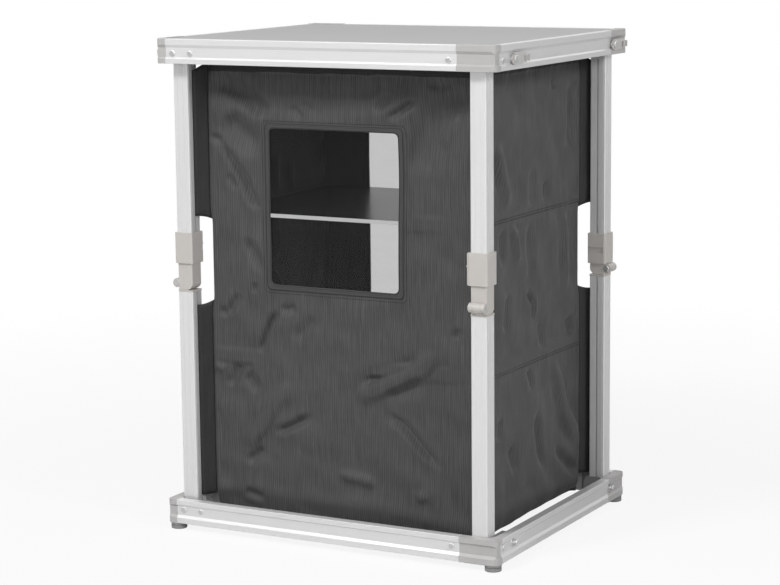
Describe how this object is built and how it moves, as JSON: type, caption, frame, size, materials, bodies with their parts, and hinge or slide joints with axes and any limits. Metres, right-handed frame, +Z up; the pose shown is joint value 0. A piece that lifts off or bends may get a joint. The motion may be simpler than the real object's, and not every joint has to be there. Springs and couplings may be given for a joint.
{
  "type": "folding camping cupboard",
  "caption": "Folding camping cupboard: aluminium table frame on knee-jointed legs over a fabric body with a window, inner shelves and an open door side.",
  "frame": {"origin": "on the floor, under the middle of the frame", "axes": "+Z up; -Y towards the front with the window; +X to the right seen from the front"},
  "size_m": [0.6138, 0.5, 0.802],
  "materials": {
    "aluminium_rail": "satin anodised",
    "aluminium_leg": "satin anodised",
    "corner_plastic": "fine grain",
    "foot_plastic": "fine grain",
    "fitting_plastic": "fine grain",
    "bracket_plastic": "fine grain",
    "latch_plastic": "satin",
    "bright_screw": "plated",
    "tabletop_laminate": "satin light grey laminate",
    "dark_fabric": "woven polyester",
    "binding_fabric": "woven tape",
    "clear_window": "clear flexible film",
    "shelf_board": "board covered in dark fabric"
  },
  "bodies": {
    "base": {"bottom_rail_front": "aluminium_rail", "bottom_rail_right": "aluminium_rail", "bottom_rail_back": "aluminium_rail", "bottom_rail_left": "aluminium_rail", "bottom_corners": "corner_plastic", "feet": "foot_plastic", "bottom_leg_brackets": "bracket_plastic", "base_pivot_bolts": "bright_screw", "bottom_frame_screws": "bright_screw", "latch_studs": "bright_screw", "floor_board": "shelf_board", "fabric_front_panel": "dark_fabric", "window_film": "clear_window", "window_binding": "binding_fabric", "fabric_left_panel": "dark_fabric", "fabric_right_panel": "dark_fabric", "fabric_back_border": "dark_fabric", "fabric_floor": "dark_fabric", "leg_flaps": "dark_fabric", "rolled_door": "dark_fabric"},
    "top_frame": {"tabletop_panel": "tabletop_laminate", "top_rail_front": "aluminium_rail", "top_rail_right": "aluminium_rail", "top_rail_back": "aluminium_rail", "top_rail_left": "aluminium_rail", "top_corners": "corner_plastic", "top_leg_brackets": "bracket_plastic", "top_pivot_bolts": "bright_screw", "top_frame_screws": "bright_screw", "latch_pivot_screws": "bright_screw"},
    "front_left_lower_leg": {"front_left_lower_tube": "aluminium_leg", "front_left_lower_knee": "fitting_plastic"},
    "front_left_upper_leg": {"front_left_upper_tube": "aluminium_leg", "front_left_upper_knee": "fitting_plastic", "front_left_knee_pin": "bright_screw"},
    "front_left_sleeve": {"front_left_sleeve": "fitting_plastic"},
    "front_left_latch": {"front_left_latch": "latch_plastic"},
    "front_right_lower_leg": {"front_right_lower_tube": "aluminium_leg", "front_right_lower_knee": "fitting_plastic"},
    "front_right_upper_leg": {"front_right_upper_tube": "aluminium_leg", "front_right_upper_knee": "fitting_plastic", "front_right_knee_pin": "bright_screw"},
    "front_right_sleeve": {"front_right_sleeve": "fitting_plastic"},
    "front_right_latch": {"front_right_latch": "latch_plastic"},
    "back_right_lower_leg": {"back_right_lower_tube": "aluminium_leg", "back_right_lower_knee": "fitting_plastic"},
    "back_right_upper_leg": {"back_right_upper_tube": "aluminium_leg", "back_right_upper_knee": "fitting_plastic", "back_right_knee_pin": "bright_screw"},
    "back_right_sleeve": {"back_right_sleeve": "fitting_plastic"},
    "back_right_latch": {"back_right_latch": "latch_plastic"},
    "back_left_lower_leg": {"back_left_lower_tube": "aluminium_leg", "back_left_lower_knee": "fitting_plastic"},
    "back_left_upper_leg": {"back_left_upper_tube": "aluminium_leg", "back_left_upper_knee": "fitting_plastic", "back_left_knee_pin": "bright_screw"},
    "back_left_sleeve": {"back_left_sleeve": "fitting_plastic"},
    "back_left_latch": {"back_left_latch": "latch_plastic"},
    "upper_shelf": {"upper_shelf": "shelf_board"},
    "lower_shelf": {"lower_shelf": "shelf_board"}
  },
  "joints": [
    {"name": "fold", "type": "hinge", "parent": "base", "child": "front_left_lower_leg", "pos_m": [-0.27, -0.212, 0.0337], "axis": [0, 1, 0], "range_deg": [0, 90], "deforming": ["fabric_front_panel", "window_film", "window_binding", "fabric_left_panel", "fabric_right_panel", "fabric_back_border", "fabric_floor", "leg_flaps", "rolled_door"]},
    {"name": "front_left_knee_hinge", "type": "hinge", "parent": "front_left_lower_leg", "child": "front_left_upper_leg", "pos_m": [-0.2865, -0.212, 0.406], "axis": [0, 1, 0], "range_deg": [-180, 0]},
    {"name": "front_right_foot_hinge", "type": "hinge", "parent": "base", "child": "front_right_lower_leg", "pos_m": [0.262, -0.22, 0.0337], "axis": [-1, 0, 0], "range_deg": [0, 90]},
    {"name": "front_right_knee_hinge", "type": "hinge", "parent": "front_right_lower_leg", "child": "front_right_upper_leg", "pos_m": [0.262, -0.2365, 0.406], "axis": [-1, 0, 0], "range_deg": [-180, 0]},
    {"name": "back_right_foot_hinge", "type": "hinge", "parent": "base", "child": "back_right_lower_leg", "pos_m": [0.27, 0.212, 0.0337], "axis": [0, -1, 0], "range_deg": [0, 90]},
    {"name": "back_right_knee_hinge", "type": "hinge", "parent": "back_right_lower_leg", "child": "back_right_upper_leg", "pos_m": [0.2865, 0.212, 0.406], "axis": [0, -1, 0], "range_deg": [-180, 0]},
    {"name": "back_left_foot_hinge", "type": "hinge", "parent": "base", "child": "back_left_lower_leg", "pos_m": [-0.262, 0.22, 0.0337], "axis": [1, 0, 0], "range_deg": [0, 90]},
    {"name": "back_left_knee_hinge", "type": "hinge", "parent": "back_left_lower_leg", "child": "back_left_upper_leg", "pos_m": [-0.262, 0.2365, 0.406], "axis": [1, 0, 0], "range_deg": [-180, 0]},
    {"name": "top_hinge", "type": "hinge", "parent": "front_left_upper_leg", "child": "top_frame", "pos_m": [-0.27, -0.212, 0.7783], "axis": [0, 1, 0], "range_deg": [0, 90]},
    {"name": "front_left_sleeve_slide", "type": "slide", "parent": "front_left_upper_leg", "child": "front_left_sleeve", "axis": [0, 0, 1], "range_m": [-0.0248, 0]},
    {"name": "front_right_sleeve_slide", "type": "slide", "parent": "front_right_upper_leg", "child": "front_right_sleeve", "axis": [0, 0, 1], "range_m": [-0.0248, 0]},
    {"name": "back_right_sleeve_slide", "type": "slide", "parent": "back_right_upper_leg", "child": "back_right_sleeve", "axis": [0, 0, 1], "range_m": [0, 0.0248]},
    {"name": "back_left_sleeve_slide", "type": "slide", "parent": "back_left_upper_leg", "child": "back_left_sleeve", "axis": [0, 0, 1], "range_m": [-0.0248, 0]},
    {"name": "front_left_latch_hinge", "type": "hinge", "parent": "top_frame", "child": "front_left_latch", "pos_m": [-0.3016, -0.192, 0.7783], "axis": [1, 0, 0], "range_deg": [0, 90]},
    {"name": "front_right_latch_hinge", "type": "hinge", "parent": "top_frame", "child": "front_right_latch", "pos_m": [0.3016, -0.1875, 0.7783], "axis": [-1, 0, 0], "range_deg": [0, 90]},
    {"name": "back_right_latch_hinge", "type": "hinge", "parent": "top_frame", "child": "back_right_latch", "pos_m": [0.3016, 0.192, 0.7783], "axis": [-1, 0, 0], "range_deg": [0, 90]},
    {"name": "back_left_latch_hinge", "type": "hinge", "parent": "top_frame", "child": "back_left_latch", "pos_m": [-0.3016, 0.1875, 0.7783], "axis": [1, 0, 0], "range_deg": [0, 90]},
    {"name": "upper_shelf_slide", "type": "slide", "parent": "base", "child": "upper_shelf", "axis": [0, 0, 1], "range_m": [-0.4541, 0]},
    {"name": "lower_shelf_slide", "type": "slide", "parent": "base", "child": "lower_shelf", "axis": [0, 0, 1], "range_m": [-0.2346, 0]}
  ],
  "couplings": [
    {"joint": "front_left_knee_hinge", "follows": "fold", "ratio": -2},
    {"joint": "front_right_foot_hinge", "follows": "fold", "ratio": 1},
    {"joint": "front_right_knee_hinge", "follows": "fold", "ratio": -2},
    {"joint": "back_right_foot_hinge", "follows": "fold", "ratio": 1},
    {"joint": "back_right_knee_hinge", "follows": "fold", "ratio": -2},
    {"joint": "back_left_foot_hinge", "follows": "fold", "ratio": 1},
    {"joint": "back_left_knee_hinge", "follows": "fold", "ratio": -2},
    {"joint": "top_hinge", "follows": "fold", "ratio": 1},
    {"joint": "upper_shelf_slide", "follows": "fold", "m_per_rad": -0.28902},
    {"joint": "lower_shelf_slide", "follows": "fold", "m_per_rad": -0.14929}
  ]
}
